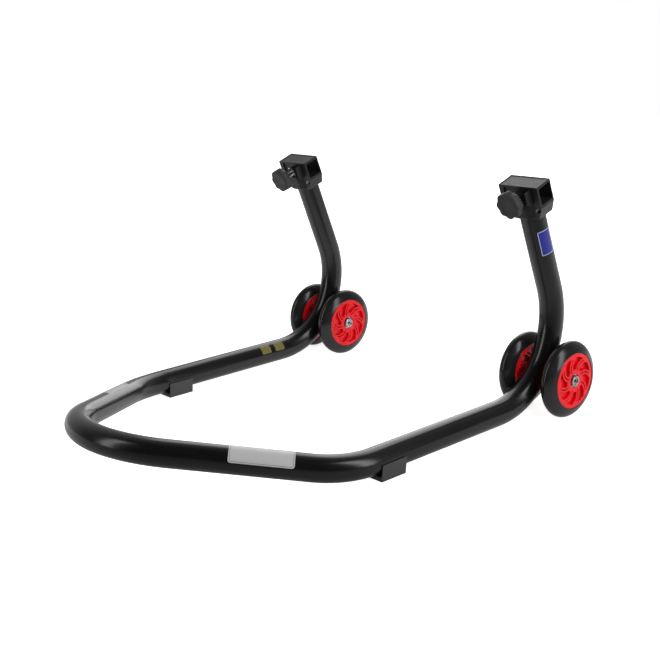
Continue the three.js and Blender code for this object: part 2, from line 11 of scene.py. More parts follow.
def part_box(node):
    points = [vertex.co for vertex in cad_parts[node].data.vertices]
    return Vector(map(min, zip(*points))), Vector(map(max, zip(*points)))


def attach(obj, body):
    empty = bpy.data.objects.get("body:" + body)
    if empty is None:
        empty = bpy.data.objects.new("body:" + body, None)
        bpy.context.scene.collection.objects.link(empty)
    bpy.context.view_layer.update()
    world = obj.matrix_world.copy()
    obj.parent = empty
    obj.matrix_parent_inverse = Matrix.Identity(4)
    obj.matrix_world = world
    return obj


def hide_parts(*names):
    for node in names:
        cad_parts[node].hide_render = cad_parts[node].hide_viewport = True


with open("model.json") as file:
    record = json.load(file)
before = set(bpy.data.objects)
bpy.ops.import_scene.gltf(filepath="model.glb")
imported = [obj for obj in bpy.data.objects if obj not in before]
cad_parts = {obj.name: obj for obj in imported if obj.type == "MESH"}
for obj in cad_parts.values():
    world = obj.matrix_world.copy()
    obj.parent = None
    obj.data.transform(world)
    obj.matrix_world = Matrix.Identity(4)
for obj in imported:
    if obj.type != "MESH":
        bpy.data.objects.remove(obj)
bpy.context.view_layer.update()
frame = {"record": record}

MM = 0.001
JOINTS = {joint["name"]: joint for joint in frame["record"]["behaviour"]["joints"]}
SIDES = {"right": 1, "left": -1}
WHEELS = {"right_outer": 1, "right_inner": -1, "left_inner": 1, "left_outer": -1}

# ------------------------------------------------------------- sizes in mm, as in the CAD part

TUBE_RADIUS = 16
TUBE_BORE_RADIUS = 14
HALF_TRACK = 212.5
LEG_HEIGHT = 21.3
AXLE_HEIGHT = 50
UPRIGHT_CORNER = 55.6  # ahead of the axle, like the next two
HANDLE_CORNER = -352.8
NOSE_CORNER = -613.2
NOSE_HEIGHT = 74.9
UPRIGHT_LENGTH = 275.3
LEG_BEND_RADIUS = 108
HANDLE_BEND_RADIUS = 110
NOSE_BEND_RADIUS = 115
SLEEVE_RADIUS = 8

AXLE_Y = JOINTS["right_outer_wheel_spin"]["pos_m"][1] / MM
CLAMP_AXIS = Vector(JOINTS["right_knob_turn"]["axis"])
LEAN = math.atan2(CLAMP_AXIS.z, CLAMP_AXIS.y)

# Socket head, in its own frame: X along the socket, Y towards the wheels, Z up the upright.
HEAD_HALF_WIDTH = 29.2
HEAD_FRONT = -15.3
HEAD_REAR = 11.3
HEAD_TOP = 14.2
SOCKET_FRONT = -12.05
SOCKET_REAR = 9.45
SOCKET_BOTTOM = -10.65
SOCKET_TOP = 10.85
BOSS_FRONT = -20

KNOB_BACK = -29
KNOB_THICKNESS = 12
KNOB_RADIUS = 16.75
KNOB_LOBES = 8
KNOB_LOBE_HEIGHT = 0.85
STUD_HEIGHT = -1
STUD_RADIUS = 3.95
STUD_TIP = -8.5
THREAD_PITCH = 1.25
THREAD_DEPTH = 0.62

# ------------------------------------------------------------- mesh helpers


def add_object(name, mesh):
    obj = bpy.data.objects.new(name, mesh)
    bpy.context.scene.collection.objects.link(obj)
    return obj


def turn_outward(mesh):
    """Makes every face of a closed mesh look outward."""
    work = bmesh.new()
    work.from_mesh(mesh)
    bmesh.ops.recalc_face_normals(work, faces=work.faces)
    work.to_mesh(mesh)
    work.free()


def finish_mesh(mesh, material, sharp_degrees=35):
    mesh.validate()
    mesh.materials.clear()
    mesh.materials.append(material)
    mesh.polygons.foreach_set("use_smooth", [True] * len(mesh.polygons))
    mesh.set_sharp_from_angle(angle=math.radians(sharp_degrees))
    return mesh


def make_mesh(name, points_mm, faces, material, sharp_degrees=35):
    """A mesh from points in millimetres."""
    mesh = bpy.data.meshes.new(name)
    mesh.from_pydata([Vector(p) * MM for p in points_mm], [], faces)
    turn_outward(mesh)
    return finish_mesh(mesh, material, sharp_degrees)


def grid_faces(rows, columns, close_rows, close_columns):
    """Quads of a grid whose point (row, column) has index row * columns + column."""
    faces = []
    for i in range(rows if close_rows else rows - 1):
        for j in range(columns if close_columns else columns - 1):
            a = i * columns + j
            b = i * columns + (j + 1) % columns
            c = (i + 1) % rows * columns + (j + 1) % columns
            d = (i + 1) % rows * columns + j
            faces.append((a, b, c, d))
    return faces


def revolve(profile, segments=64, radius_at=None):
    """Points and faces of a solid turned about X from (radius, x) pairs.

    The profile either is a closed loop or starts and ends on the axis. radius_at(radius, x, angle)
    may replace each radius.
    """
    poles = profile[0][0] == 0
    rings = profile[1:-1] if poles else profile
    points = []
    for radius, x in rings:
        for j in range(segments):
            angle = 2 * math.pi * j / segments
            r = radius_at(radius, x, angle) if radius_at else radius
            points.append((x, r * math.cos(angle), r * math.sin(angle)))
    faces = grid_faces(len(rings), segments, not poles, True)
    if poles:
        last = (len(rings) - 1) * segments
        first_pole = len(points)
        points += [(profile[0][1], 0, 0), (profile[-1][1], 0, 0)]
        for j in range(segments):
            k = (j + 1) % segments
            faces.append((first_pole, k, j))
            faces.append((first_pole + 1, last + j, last + k))
    return points, faces


def rod_profile(radius, start, end, chamfer=0.2):
    if not chamfer:
        return [(0, start), (radius, start), (radius, end), (0, end)]
    return [
        (0, start),
        (radius - chamfer, start),
        (radius, start + chamfer),
        (radius, end - chamfer),
        (radius - chamfer, end),
        (0, end),
    ]


def ring_profile(inner, outer, start, end, chamfer=0.2):
    return [
        (inner, start + chamfer),
        (inner + chamfer, start),
        (outer - chamfer, start),
        (outer, start + chamfer),
        (outer, end - chamfer),
        (outer - chamfer, end),
        (inner + chamfer, end),
        (inner, end - chamfer),
    ]


def turned_mesh(name, profile, material, segments=64):
    """A piece turned about X."""
    return make_mesh(name, *revolve(profile, segments), material)


def upright_mesh(name, profile, material, segments):
    """A piece turned about Z, from (radius, z) pairs."""
    points, faces = revolve(profile, segments)
    return make_mesh(name, [(y, z, x) for x, y, z in points], faces, material)


def hexagon(radius):
    return [(radius * math.cos(math.pi * k / 3), radius * math.sin(math.pi * k / 3)) for k in range(6)]


def arc(centre, radius, start_degrees, end_degrees, steps):
    """Points on a circle in the plane of two coordinates."""
    points = []
    for i in range(steps + 1):
        angle = math.radians(start_degrees + (end_degrees - start_degrees) * i / steps)
        points.append((centre[0] + radius * math.cos(angle), centre[1] + radius * math.sin(angle)))
    return points


def prism_mesh(name, outline, start, end, to_point):
    """A straight prism. to_point(u, v, depth) gives the point for outline point (u, v) at a depth."""
    points = [to_point(u, v, depth) for depth in (start, end) for u, v in outline]
    count = len(outline)
    faces = [tuple(range(count)), tuple(reversed(range(count, 2 * count)))]
    faces += [(j, j + count, (j + 1) % count + count, (j + 1) % count) for j in range(count)]
    mesh = bpy.data.meshes.new(name)
    mesh.from_pydata([Vector(p) * MM for p in points], [], faces)
    turn_outward(mesh)
    return mesh


def box_mesh(name, low, high):
    corners = [(low[0], low[1]), (high[0], low[1]), (high[0], high[1]), (low[0], high[1])]
    return prism_mesh(name, corners, low[2], high[2], lambda u, v, depth: (u, v, depth))


def evaluated_mesh(obj):
    """The object's mesh with its modifiers applied, as new mesh data."""
    depsgraph = bpy.context.evaluated_depsgraph_get()
    return bpy.data.meshes.new_from_object(obj.evaluated_get(depsgraph))


def combine(base_mesh, steps):
    """Unites or cuts meshes one after another: steps is a list of (operation, mesh)."""
    base = add_object("base", base_mesh)
    for operation, mesh in steps:
        tool = add_object("tool", mesh)
        modifier = base.modifiers.new("combine", "BOOLEAN")
        modifier.operation = operation
        modifier.solver = "EXACT"
        modifier.object = tool
        result = evaluated_mesh(base)
        base.modifiers.clear()
        base.data = result
        bpy.data.objects.remove(tool)
    result = base.data
    bpy.data.objects.remove(base)
    return result


def moulded(mesh, voxel_mm, smoothing):
    """The mesh with every edge and corner softly rounded, like a moulding."""
    obj = add_object("moulding", mesh)
    remesh = obj.modifiers.new("remesh", "REMESH")
    remesh.mode = "VOXEL"
    remesh.voxel_size = voxel_mm * MM
    smooth = obj.modifiers.new("smooth", "SMOOTH")
    smooth.factor = 0.5
    smooth.iterations = smoothing
    result = evaluated_mesh(obj)
    bpy.data.objects.remove(obj)
    return result


def bevelled(mesh, width_mm, segments):
    """The mesh with its sharp edges bevelled."""
    obj = add_object("bevelled", mesh)
    bevel = obj.modifiers.new("bevel", "BEVEL")
    bevel.width = width_mm * MM
    bevel.segments = segments
    bevel.limit_method = "ANGLE"
    bevel.angle_limit = math.radians(35)
    result = evaluated_mesh(obj)
    bpy.data.objects.remove(obj)
    return result


def put(name, mesh, body, nodes=(), place=None):
    """Shows a mesh as a piece of a CAD body, standing for the CAD nodes given.

    Every piece gets its own mesh, moved into the row frame, so that its box is exact.
    """
    own = mesh.copy()
    own.name = name
    if place is not None:
        own.transform(place)
    obj = add_object(name, own)
    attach(obj, body)
    if nodes:
        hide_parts(*nodes)
    return obj


def at_node(node):
    """A move to the middle of a CAD node's box."""
    low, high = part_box(node)
    return Matrix.Translation((low + high) / 2)


# ------------------------------------------------------------- materials


class Nodes:
    """Small helper that builds a Principled material node by node."""

    def __init__(self, name):
        self.material = bpy.data.materials.new(name)
        self.material.use_nodes = True
        self.tree = self.material.node_tree
        self.shader = self.tree.nodes["Principled BSDF"]
        self.position = self.add("ShaderNodeTexCoord").outputs["Object"]

    def add(self, kind, inputs=None, **settings):
        node = self.tree.nodes.new(kind)
        for key, value in settings.items():
            setattr(node, key, value)
        for key, value in (inputs or {}).items():
            self.feed(node.inputs[key], value)
        return node

    def feed(self, socket, value):
        if isinstance(value, bpy.types.NodeSocket):
            self.tree.links.new(value, socket)
        else:
            socket.default_value = value

    def stretched(self, scale):
        return self.add("ShaderNodeMapping", {"Vector": self.position, "Scale": scale}).outputs["Vector"]

    def noise(self, scale, detail=4, roughness=0.5, vector=None):
        inputs = {
            "Vector": vector or self.position,
            "Scale": scale,
            "Detail": detail,
            "Roughness": roughness,
        }
        return self.add("ShaderNodeTexNoise", inputs).outputs["Fac"]

    def ramp(self, value, low, high, to_low=0.0, to_high=1.0):
        inputs = {"Value": value, "From Min": low, "From Max": high, "To Min": to_low, "To Max": to_high}
        return self.add("ShaderNodeMapRange", inputs).outputs["Result"]

    def mix(self, factor, first, second):
        node = self.add("ShaderNodeMix", data_type="RGBA")
        self.feed(node.inputs[0], factor)
        self.feed(node.inputs[6], first)
        self.feed(node.inputs[7], second)
        return node.outputs[2]

    def bump(self, height, distance_mm, normal=None):
        inputs = {"Height": height, "Distance": distance_mm * MM, "Strength": 1.0}
        if normal:
            inputs["Normal"] = normal
        return self.add("ShaderNodeBump", inputs).outputs["Normal"]

    def set(self, **inputs):
        for key, value in inputs.items():
            self.feed(self.shader.inputs[key.replace("_", " ")], value)


def shade(color, factor):
    return (*[channel * factor for channel in color[:3]], 1)


def powder_coat():
    """Satin black powder coat: a fine orange peel with faint cloudy gloss changes and specks of dust."""
    m = Nodes("powder_coat")
    black = (0.0035, 0.0034, 0.0034, 1)
    cloud = m.noise(9, 3)
    dust = m.ramp(m.noise(2600, 2), 0.66, 0.74)
    color = m.mix(cloud, shade(black, 0.8), shade(black, 1.3))
    color = m.mix(m.ramp(dust, 0, 1, 0, 0.2), color, (0.06, 0.06, 0.06, 1))
    peel = m.noise(420, 2, 0.4)
    grit = m.noise(1900, 2)
    normal = m.bump(peel, 0.02)
    normal = m.bump(grit, 0.004, normal=normal)
    m.set(Base_Color=color, Roughness=m.ramp(cloud, 0.3, 0.7, 0.2, 0.25), Normal=normal)
    m.set(Specular_IOR_Level=0.5)
    return m.material


def grained_plastic(name, color, roughness, grain_depth=0.03):
    """Matt moulded plastic with a spark-eroded grain, slight mottling and edges painted paler where the
    mesh is sharply convex.
    """
    m = Nodes(name)
    mottle = m.noise(60, 4)
    base = m.mix(m.ramp(mottle, 0.3, 0.7), shade(color, 0.82), shade(color, 1.2))
    # paler colour where the mesh is sharply convex
    edge = m.ramp(m.add("ShaderNodeNewGeometry").outputs["Pointiness"], 0.53, 0.62, 0, 0.4)
    base = m.mix(edge, base, shade(color, 4))
    grain = m.noise(1500, 3, 0.6)
    flow = m.noise(90, 2)
    normal = m.bump(flow, 0.05)
    normal = m.bump(grain, grain_depth, normal=normal)
    rough = m.ramp(m.noise(200, 3), 0.3, 0.7, roughness - 0.06, roughness + 0.06)
    m.set(Base_Color=base, Roughness=rough, Normal=normal, Specular_IOR_Level=0.25)
    return m.material


def red_nylon():
    """Glossy moulded red with faint flow marks and a little light passing under its surface."""
    m = Nodes("wheel_red")
    red = (0.66, 0.003, 0.009, 1)
    flow = m.noise(55, 3)
    base = m.mix(m.ramp(flow, 0.3, 0.7), shade(red, 0.9), shade(red, 1.08))
    normal = m.bump(m.noise(140, 2), 0.03)
    normal = m.bump(m.noise(1400, 2), 0.006, normal=normal)
    m.set(Base_Color=base, Roughness=m.ramp(m.noise(70, 3), 0.3, 0.7, 0.26, 0.34), Normal=normal)
    m.set(Specular_IOR_Level=0.3)
    m.set(Subsurface_Weight=0.12, Subsurface_Radius=(0.002, 0.0004, 0.0003), Subsurface_Scale=1.0)
    return m.material


def polyurethane():
    """Cast black polyurethane: smooth, slightly uneven, with fine scuffs running round the tread."""
    m = Nodes("tyre_black")
    black = (0.009, 0.009, 0.009, 1)
    mottle = m.noise(40, 4)
    scuff = m.ramp(m.noise(160, 4, 0.6, m.stretched((5, 1, 1))), 0.56, 0.85)
    base = m.mix(mottle, shade(black, 0.8), shade(black, 1.4))
    base = m.mix(m.ramp(scuff, 0, 1, 0, 0.2), base, (0.03, 0.03, 0.031, 1))
    normal = m.bump(m.noise(90, 2), 0.012)
    normal = m.bump(m.noise(1700, 2), 0.003, normal=normal)
    m.set(Base_Color=base, Roughness=m.ramp(scuff, 0, 1, 0.2, 0.25), Normal=normal)
    m.set(Specular_IOR_Level=0.38)
    return m.material


def rubber():
    """Dull dark rubber with a coarse moulded texture."""
    m = Nodes("foot_rubber")
    black = (0.04, 0.04, 0.04, 1)
    mottle = m.noise(80, 4)
    base = m.mix(mottle, shade(black, 0.75), shade(black, 1.35))
    normal = m.bump(m.noise(900, 4, 0.7), 0.05)
    m.set(Base_Color=base, Roughness=m.ramp(mottle, 0.3, 0.7, 0.62, 0.78), Normal=normal)
    return m.material


def metal(name, color, roughness):
    """Plated metal with a fine uneven surface and faint darker stains."""
    m = Nodes(name)
    unevenness = m.noise(900, 3, 0.6)
    stain = m.noise(120, 4)
    base = m.mix(m.ramp(stain, 0.35, 0.75), color, shade(color, 0.8))
    normal = m.bump(unevenness, 0.01)
    rough = m.ramp(unevenness, 0.3, 0.7, roughness - 0.06, roughness + 0.08)
    m.set(Base_Color=base, Metallic=1.0, Roughness=rough, Normal=normal)
    return m.material


def label_vinyl(name, color, size, border=None, radius=3.0):
    """Plain printed vinyl. The UV map holds millimetres from the middle of the label."""
    m = Nodes(name)
    uv = m.add("ShaderNodeTexCoord").outputs["UV"]
    fibre = m.noise(700, 3)
    base = m.mix(m.ramp(fibre, 0.3, 0.7), shade(color, 0.93), shade(color, 1.05))
    if border:
        line = border_mask(m, uv, size, radius, border["inset"], border["width"])
        base = m.mix(line, base, border["color"])
    normal = m.bump(m.noise(300, 2), 0.01)
    m.set(Base_Color=base, Roughness=m.ramp(fibre, 0.3, 0.7, 0.3, 0.4), Normal=normal)
    return m.material


def border_mask(m, uv, size, radius, inset, width):
    """1 on a thin line that follows a rounded rectangle, inset from the label's edge."""
    split = m.add("ShaderNodeSeparateXYZ", {"Vector": uv})
    offsets = []
    for axis, extent in zip("XY", size):
        distance = m.add("ShaderNodeMath", {0: split.outputs[axis]}, operation="ABSOLUTE").outputs[0]
        corner = extent / 2 - radius
        beyond = m.add("ShaderNodeMath", {0: distance, 1: corner}, operation="SUBTRACT").outputs[0]
        offsets.append(beyond)
    positive = [m.add("ShaderNodeMath", {0: o, 1: 0.0}, operation="MAXIMUM").outputs[0] for o in offsets]
    outside = m.add("ShaderNodeCombineXYZ", {"X": positive[0], "Y": positive[1]}).outputs[0]
    length = m.add("ShaderNodeVectorMath", {0: outside}, operation="LENGTH").outputs["Value"]
    inner = m.add("ShaderNodeMath", {0: offsets[0], 1: offsets[1]}, operation="MAXIMUM").outputs[0]
    inner = m.add("ShaderNodeMath", {0: inner, 1: 0.0}, operation="MINIMUM").outputs[0]
    reach = m.add("ShaderNodeMath", {0: length, 1: inner}, operation="ADD").outputs[0]
    from_line = m.add("ShaderNodeMath", {0: reach, 1: radius - inset}, operation="SUBTRACT").outputs[0]
    distance = m.add("ShaderNodeMath", {0: from_line}, operation="ABSOLUTE").outputs[0]
    return m.ramp(distance, width / 2, width / 2 + 0.15, 1, 0)


SILVER_SIZE = (73, 29)
BLUE_SIZE = (33.5, 19)
YELLOW_SIZE = (17, 14)

POWDER_COAT = powder_coat()
WHEEL_RED = red_nylon()
TYRE = polyurethane()
FOOT_RUBBER = rubber()
HEAD_PLASTIC = grained_plastic("head_plastic", (0.014, 0.014, 0.014, 1), 0.4)
KNOB_PLASTIC = grained_plastic("knob_plastic", (0.03, 0.03, 0.0302, 1), 0.5)
PAD_NYLON = grained_plastic("pad_nylon", (0.62, 0.6, 0.54, 1), 0.45, grain_depth=0.01)
ZINC = metal("zinc", (0.46, 0.46, 0.47, 1), 0.28)
BEARING_STEEL = metal("bearing_steel", (0.5, 0.51, 0.53, 1), 0.28)
BRASS = metal("brass", (0.3, 0.22, 0.1, 1), 0.4)
SILVER_LABEL = label_vinyl(
    "silver_label",
    (0.38, 0.38, 0.38, 1),
    SILVER_SIZE,
    {"inset": 1.6, "width": 0.35, "color": (0.1, 0.1, 0.1, 1)},
)
BLUE_LABEL = label_vinyl(
    "blue_label",
    (0.01, 0.018, 0.21, 1),
    BLUE_SIZE,
    {"inset": 0.7, "width": 0.7, "color": (0.42, 0.44, 0.56, 1)},
    radius=1.5,
)
YELLOW_LABEL = label_vinyl("yellow_label", (0.15, 0.13, 0.035, 1), YELLOW_SIZE, radius=2.0)

# ------------------------------------------------------------- frame tube


def axle_frame_point(x, y, z):
    """A point given from the axle line along Y, in the row frame, in millimetres."""
    return Vector((x, AXLE_Y + y, z))


def up_the_upright(side, distance):
    corner = axle_frame_point(side * HALF_TRACK, UPRIGHT_CORNER, LEG_HEIGHT)
    return corner + distance * Vector((0, -math.sin(LEAN), math.cos(LEAN)))


def frame_corners():
    right = [
        up_the_upright(1, UPRIGHT_LENGTH),
        up_the_upright(1, 0),
        axle_frame_point(HALF_TRACK, HANDLE_CORNER, LEG_HEIGHT),
    ]
    left = [Vector((-p.x, p.y, p.z)) for p in reversed(right)]
    return right + [axle_frame_point(0, NOSE_CORNER, NOSE_HEIGHT)] + left


BEND_RADII = [LEG_BEND_RADIUS, HANDLE_BEND_RADIUS, NOSE_BEND_RADIUS, HANDLE_BEND_RADIUS, LEG_BEND_RADIUS]


def frame_stations():
    """(point, tangent) pairs down the tube, and where each straight starts and which way it runs."""
    degrees_per_step = 2.5
    corners = frame_corners()
    stations = [(corners[0], (corners[1] - corners[0]).normalized())]
    straights = [stations[0]]
    for i, radius in enumerate(BEND_RADII):
        incoming = (corners[i + 1] - corners[i]).normalized()
        outgoing = (corners[i + 2] - corners[i + 1]).normalized()
        angle = incoming.angle(outgoing)
        start = corners[i + 1] - incoming * radius * math.tan(angle / 2)
        axis = incoming.cross(outgoing).normalized()
        centre = start + axis.cross(incoming) * radius
        steps = math.ceil(math.degrees(angle) / degrees_per_step)
        for k in range(steps + 1):
            turn = Matrix.Rotation(angle * k / steps, 3, axis)
            stations.append((centre + turn @ (start - centre), turn @ incoming))
        straights.append(stations[-1])
    stations.append((corners[-1], stations[-1][1]))
    return stations, straights


def sweep_rings(stations, radius, sides):
    """Rings of points round a path, carried along it without twist."""
    points = []
    across = stations[0][1].orthogonal().normalized()
    for point, tangent in stations:
        across = (across - tangent * across.dot(tangent)).normalized()
        second = tangent.cross(across)
        for j in range(sides):
            angle = 2 * math.pi * j / sides
            points.append(point + radius * (math.cos(angle) * across + math.sin(angle) * second))
    return points


STATIONS, STRAIGHTS = frame_stations()


def frame_tube():
    sides = 48
    rows = len(STATIONS)
    outer = sweep_rings(STATIONS, TUBE_RADIUS, sides)
    inner = sweep_rings(STATIONS, TUBE_BORE_RADIUS, sides)
    faces = grid_faces(rows, sides, False, True)
    offset = len(outer)
    faces += [tuple(offset + k for k in face) for face in grid_faces(rows, sides, False, True)]
    for first in (0, (rows - 1) * sides):
        for j in range(sides):
            k = (j + 1) % sides
            faces.append((first + j, offset + first + j, offset + first + k, first + k))
    mesh = make_mesh("frame_tube_smooth", outer + inner, faces, POWDER_COAT)
    put("tube_frame", mesh, "stand", ["frame_tube"])


def sleeve_seam(side):
    """Closed line where an axle sleeve meets the outside of the leg's bend."""
    tangent_length = LEG_BEND_RADIUS * math.tan((math.pi / 2 + LEAN) / 2)
    bend_centre = Vector((UPRIGHT_CORNER - tangent_length, LEG_HEIGHT + LEG_BEND_RADIUS))
    steps = 480
    along = []
    for i in range(steps):
        angle = 2 * math.pi * i / steps
        y, z = SLEEVE_RADIUS * math.cos(angle), AXLE_HEIGHT + SLEEVE_RADIUS * math.sin(angle)
        out = (Vector((y, z)) - bend_centre).length - LEG_BEND_RADIUS
        if abs(out) < TUBE_RADIUS:
            along.append((math.sqrt(TUBE_RADIUS**2 - out**2), y, z))
    gap = max(range(len(along)), key=lambda k: math.dist(along[k], along[k - 1]))
    along = along[gap:] + along[:gap]
    loop = along + [(-x, y, z) for x, y, z in reversed(along)]
    return [axle_frame_point(side * HALF_TRACK + x, y, z) for x, y, z in loop]


def sleeve_weld(side):
    """Rippled bead along the seam between an axle sleeve and its leg."""
    centre = sleeve_seam(side)
    rows, sides = len(centre), 12
    points = []
    for i, point in enumerate(centre):
        tangent = (centre[(i + 1) % rows] - centre[i - 1]).normalized()
        across = tangent.cross(Vector((1, 0, 0)))
        across = across.normalized() if across.length > 1e-3 else tangent.orthogonal().normalized()
        second = tangent.cross(across)
        bead_radius = 1.5 + 0.22 * math.sin(i * 0.55) + 0.1 * math.sin(i * 0.21)
        for j in range(sides):
            angle = 2 * math.pi * j / sides
            points.append(point + bead_radius * (math.cos(angle) * across + math.sin(angle) * second))
    return make_mesh("sleeve_weld", points, grid_faces(rows, sides, True, True), POWDER_COAT, 80)


def axle_sleeves():
    for side_name, side in SIDES.items():
        low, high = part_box(f"{side_name}_axle_sleeve")
        half = (high.x - low.x) / 2 / MM
        mesh = turned_mesh("axle_sleeve", ring_profile(4.2, SLEEVE_RADIUS, -half, half, 0.4), POWDER_COAT)
        place = at_node(f"{side_name}_axle_sleeve")
        put(f"{side_name}_sleeve", mesh, "stand", [f"{side_name}_axle_sleeve"], place)
        put(f"{side_name}_sleeve_weld", sleeve_weld(side), "stand")


# ------------------------------------------------------------- labels


def tube_label(name, straight, middle_mm, middle_degrees, size, corner, material):
    """A thin rounded label wrapped on a straight of the tube.

    middle_mm runs along the straight; middle_degrees turns from its uppermost line, positive
    towards direction x up. size is (along, around), in millimetres.
    """
    start, direction = straight
    straight_up = (Vector((0, 0, 1)) - direction * direction.z).normalized()
    sideways = direction.cross(straight_up)
    inner_radius, outer_radius = TUBE_RADIUS + 0.02, TUBE_RADIUS + 0.2
    rows, columns = 41, 25
    half_length, half_width = size[0] / 2, size[1] / 2
    layers, uvs = [], []
    for radius in (outer_radius, inner_radius):
        for i in range(rows):
            u = -half_length * math.cos(math.pi * i / (rows - 1))
            into_corner = max(0, abs(u) - (half_length - corner))
            reach = half_width - corner + math.sqrt(max(0, corner**2 - into_corner**2))
            for j in range(columns):
                v = reach * (2 * j / (columns - 1) - 1)
                angle = math.radians(middle_degrees) + v / TUBE_RADIUS
                around = math.cos(angle) * straight_up + math.sin(angle) * sideways
                layers.append(start + direction * (middle_mm + u) + radius * around)
                uvs.append((u, v))
    top = grid_faces(rows, columns, False, False)
    offset = rows * columns
    faces = top + [tuple(offset + k for k in f) for f in top]
    rim = list(range(columns))
    rim += [i * columns + columns - 1 for i in range(1, rows)]
    rim += [(rows - 1) * columns + j for j in range(columns - 2, -1, -1)]
    rim += [i * columns for i in range(rows - 2, 0, -1)]
    for a, b in zip(rim, rim[1:] + rim[:1]):
        faces.append((a, b, b + offset, a + offset))
    mesh = make_mesh(name, layers, faces, material)
    layer = mesh.uv_layers.new(name="label")
    for loop in mesh.loops:
        layer.data[loop.index].uv = uvs[loop.vertex_index]
    put(name, mesh, "stand")


def labels():
    upright, _, right_bar, left_bar, left_leg, _ = STRAIGHTS
    tube_label("right_bar_label", right_bar, 55, -27, SILVER_SIZE, 3, SILVER_LABEL)
    tube_label("left_bar_label", left_bar, 101.3, -27, SILVER_SIZE, 3, SILVER_LABEL)
    tube_label("upright_label", upright, 52.3, 103, BLUE_SIZE, 1.5, BLUE_LABEL)
    tube_label("leg_label_rear", left_leg, 199, 50, YELLOW_SIZE, 2, YELLOW_LABEL)
    tube_label("leg_label_front", left_leg, 174, 50, YELLOW_SIZE, 2, YELLOW_LABEL)


# ------------------------------------------------------------- feet


def foot_mesh():
    """Rubber channel for the tube, its sides spreading upwards, with a countersunk hole."""
    half_length = 19
    right_half = [(15.2, 0), (17.7, 21), (16.5, 21), (14.6, 9.5), (13.9, 6.6), (12.4, 5)]
    outline = right_half + [(-x, z) for x, z in reversed(right_half)]
    block = prism_mesh("foot", outline, -half_length, half_length, lambda u, v, depth: (u, depth, v))
    hole_profile = [(0, -1), (4.5, -1), (4.5, 0.8), (2.3, 3), (2.3, 9), (0, 9)]
    hole = upright_mesh("foot_hole", hole_profile, FOOT_RUBBER, 32)
    shaped = combine(bevelled(block, 0.45, 3), [("DIFFERENCE", hole)])
    return finish_mesh(shaped, FOOT_RUBBER)


def screw_mesh():
    """Countersunk screw with a cross recess, pointing up."""
    profile = [(0, 0.5), (4.0, 0.5), (4.2, 0.7), (4.2, 0.8), (2.0, 3), (2.0, 11.5), (1.6, 12), (0, 12)]
    screw = upright_mesh("foot_screw", profile, ZINC, 40)
    cuts = []
    for low, high in (((-2.4, -0.5, 0), (2.4, 0.5, 1.9)), ((-0.5, -2.4, 0), (0.5, 2.4, 1.9))):
        cuts.append(("DIFFERENCE", box_mesh("slot", low, high)))
    return finish_mesh(combine(screw, cuts), ZINC)


def feet():
    block, screw = foot_mesh(), screw_mesh()
    for side_name in SIDES:
        low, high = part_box(f"{side_name}_foot")
        place = Matrix.Translation(((low.x + high.x) / 2, (low.y + high.y) / 2, 0))
        put(f"{side_name}_foot_block", block, "stand", [f"{side_name}_foot"], place)
        put(f"{side_name}_sole_screw", screw, "stand", [f"{side_name}_foot_screw"], place)


# ------------------------------------------------------------- wheels

SPOKES = 8
HUB_RADIUS = 14.5
RIM_INNER = 31
CORE_RADIUS = 36.9
CORE_BORE = 11.05
BEARING_SEAT = 10.55  # depth of the far bearing's seat
NEAR_HUB_TOP = 12
CORE_TOP = 11.4  # hub, spokes and rim are flush at this distance from the wheel's mid-plane
WEB_HALF = 7
GROOVE_FLOOR = 8.5
GROOVE_HALF = 0.45  # at its floor; the walls lean outwards by the draft
SPOKE_HALF = 3.5
DRAFT = 0.3
EDGE = 0.35
SPOKE_DEGREES = {"right_outer": 18, "right_inner": 4, "left_inner": 32, "left_outer": 25}


def spoke_sweep(radius):
    """How far the spokes have swept round at a radius, in radians."""
    rise = (radius - HUB_RADIUS) / (RIM_INNER - HUB_RADIUS)
    return math.radians(4 * rise + 20 * rise**1.7)


def core_rows():
    """(radius, grooves open, pockets open) from the hub to the rim across one face."""
    rows = [(13.2, False, False), (13.5, True, False), (14.5, True, False), (15.2, True, False)]
    rows += [(15.6 + 1.1 * k, True, True) for k in range(13)]
    rows += [(29.2, False, True), (30.0, False, True), (30.8, False, True), (31.2, False, False)]
    return rows


def spoke_columns():
    """(offset across the spoke in mm, level) from the pocket on one side to the pocket on the other."""
    rib = [
        (GROOVE_HALF, "groove"),
        (GROOVE_HALF + DRAFT, "groove_edge"),
        (GROOVE_HALF + DRAFT + EDGE, "top"),
        (SPOKE_HALF - DRAFT - EDGE, "top"),
        (SPOKE_HALF - DRAFT, "pocket_edge"),
        (SPOKE_HALF, "pocket"),
    ]
    return [(-offset, level) for offset, level in reversed(rib)] + rib


def core_columns(radius, groove_open, pocket_open):
    """(angle, height) for every column of the core's mesh at a radius."""
    heights = {
        "top": CORE_TOP,
        "groove": GROOVE_FLOOR if groove_open else CORE_TOP,
        "groove_edge": CORE_TOP - EDGE if groove_open else CORE_TOP,
        "pocket": WEB_HALF if pocket_open else CORE_TOP,
        "pocket_edge": CORE_TOP - EDGE if pocket_open else CORE_TOP,
    }
    patterned = min(max(radius, HUB_RADIUS), RIM_INNER)
    slope = patterned * (spoke_sweep(patterned + 0.1) - spoke_sweep(patterned)) / 0.1
    per_mm = math.hypot(1, slope) / patterned
    pocket_steps = 5
    sector = 2 * math.pi / SPOKES
    columns = []
    for spoke in range(SPOKES):
        centre = spoke * sector + spoke_sweep(patterned)
        columns += [(centre + offset * per_mm, heights[level]) for offset, level in spoke_columns()]
        span = sector - 2 * SPOKE_HALF * per_mm
        for k in range(1, pocket_steps):
            columns.append((centre + SPOKE_HALF * per_mm + span * k / pocket_steps, heights["pocket"]))
    return columns


